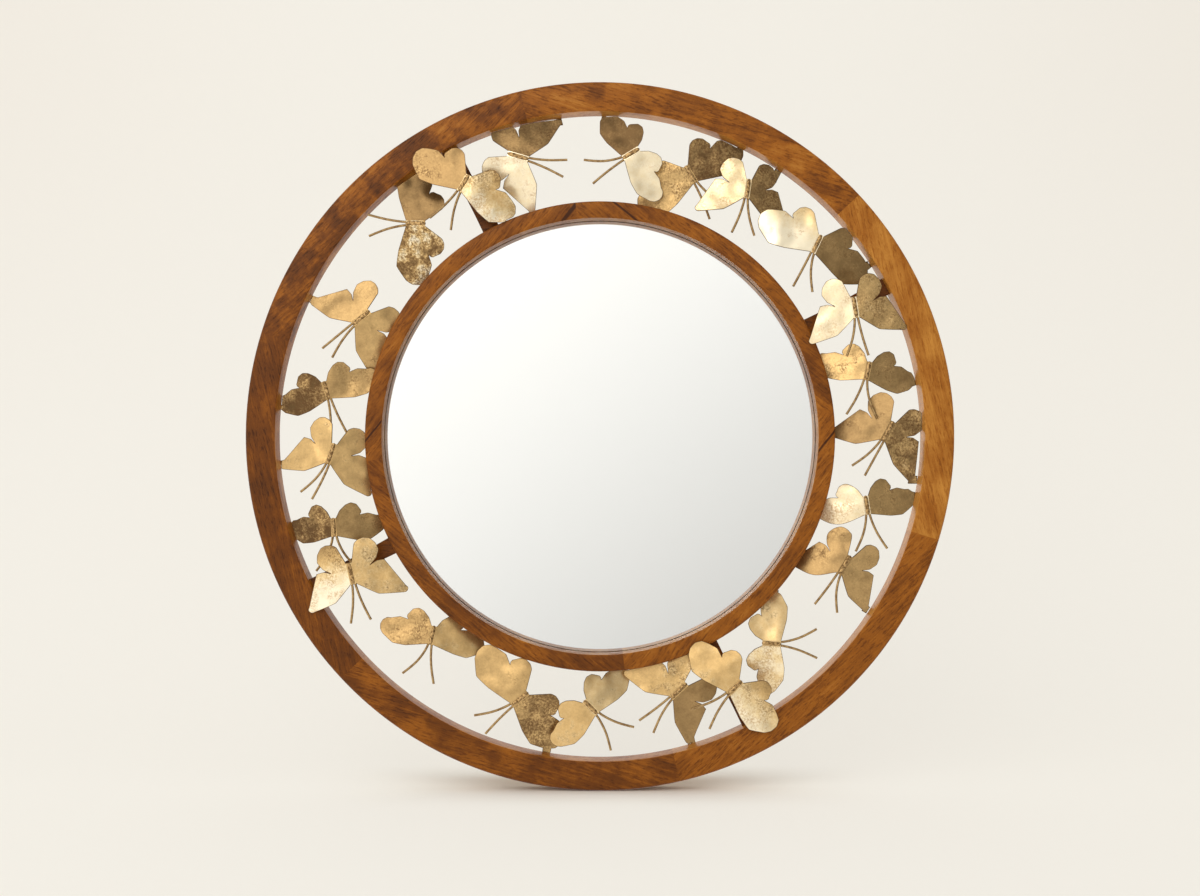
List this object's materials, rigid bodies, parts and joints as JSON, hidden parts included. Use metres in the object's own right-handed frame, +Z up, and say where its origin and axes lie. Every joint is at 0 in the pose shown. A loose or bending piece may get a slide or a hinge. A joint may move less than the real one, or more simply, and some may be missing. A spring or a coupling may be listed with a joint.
{
  "type": "wall mirror",
  "caption": "Round wall mirror: an inner wooden ring holds the glass, spokes join it to an outer ring, and a wreath of folded sheet-metal butterflies fills the gap.",
  "frame": {"origin": "middle of the backing board's back face, on the wall", "axes": "+X to the right as seen from the front, +Y into the wall, +Z up; the mirror faces -Y"},
  "size_m": [0.7618, 0.04, 0.762],
  "materials": {
    "ring_wood": "brown stain and oil, satin, straight grain along each segment",
    "spoke_wood": "dark brown stain, satin",
    "mirror_glass": "polished, silvered at the back",
    "board": "plain hardboard",
    "screw_steel": "zinc plated",
    "dowel_wood": "plain beech",
    "post_steel": "plain",
    "wing_sheet": "antique gold leaf over a dark ground, glossy, mottled, with dark edges",
    "antenna_wire": "antique gold over a dark ground",
    "nail_steel": "blackened"
  },
  "bodies": {
    "root": {"outer_ring": "ring_wood", "inner_ring": "ring_wood", "mirror_glass": "mirror_glass", "backing_board": "board", "board_screws": "screw_steel", "spoke_1": "spoke_wood", "spoke_2": "spoke_wood", "spoke_3": "spoke_wood", "spoke_4": "spoke_wood", "spoke_dowels": "dowel_wood", "butterfly_posts": "post_steel", "butterfly_01_wings": "wing_sheet", "butterfly_01_antennae": "antenna_wire", "butterfly_02_wings": "wing_sheet", "butterfly_02_antennae": "antenna_wire", "butterfly_03_wings": "wing_sheet", "butterfly_03_antennae": "antenna_wire", "butterfly_04_wings": "wing_sheet", "butterfly_04_antennae": "antenna_wire", "butterfly_05_wings": "wing_sheet", "butterfly_05_antennae": "antenna_wire", "butterfly_06_wings": "wing_sheet", "butterfly_06_antennae": "antenna_wire", "butterfly_07_wings": "wing_sheet", "butterfly_07_antennae": "antenna_wire", "butterfly_08_wings": "wing_sheet", "butterfly_08_antennae": "antenna_wire", "butterfly_09_wings": "wing_sheet", "butterfly_09_antennae": "antenna_wire", "butterfly_10_wings": "wing_sheet", "butterfly_10_antennae": "antenna_wire", "butterfly_11_wings": "wing_sheet", "butterfly_11_antennae": "antenna_wire", "butterfly_12_wings": "wing_sheet", "butterfly_12_antennae": "antenna_wire", "butterfly_13_wings": "wing_sheet", "butterfly_13_antennae": "antenna_wire", "butterfly_14_wings": "wing_sheet", "butterfly_14_antennae": "antenna_wire", "butterfly_15_wings": "wing_sheet", "butterfly_15_antennae": "antenna_wire", "butterfly_16_wings": "wing_sheet", "butterfly_16_antennae": "antenna_wire", "butterfly_17_wings": "wing_sheet", "butterfly_17_antennae": "antenna_wire", "butterfly_18_wings": "wing_sheet", "butterfly_18_antennae": "antenna_wire", "butterfly_19_wings": "wing_sheet", "butterfly_19_antennae": "antenna_wire", "butterfly_20_wings": "wing_sheet", "butterfly_20_antennae": "antenna_wire", "butterfly_21_wings": "wing_sheet", "butterfly_21_antennae": "antenna_wire", "butterfly_22_wings": "wing_sheet", "butterfly_22_antennae": "antenna_wire", "butterfly_23_wings": "wing_sheet", "butterfly_23_antennae": "antenna_wire", "wing_nails": "nail_steel"}
  },
  "joints": []
}
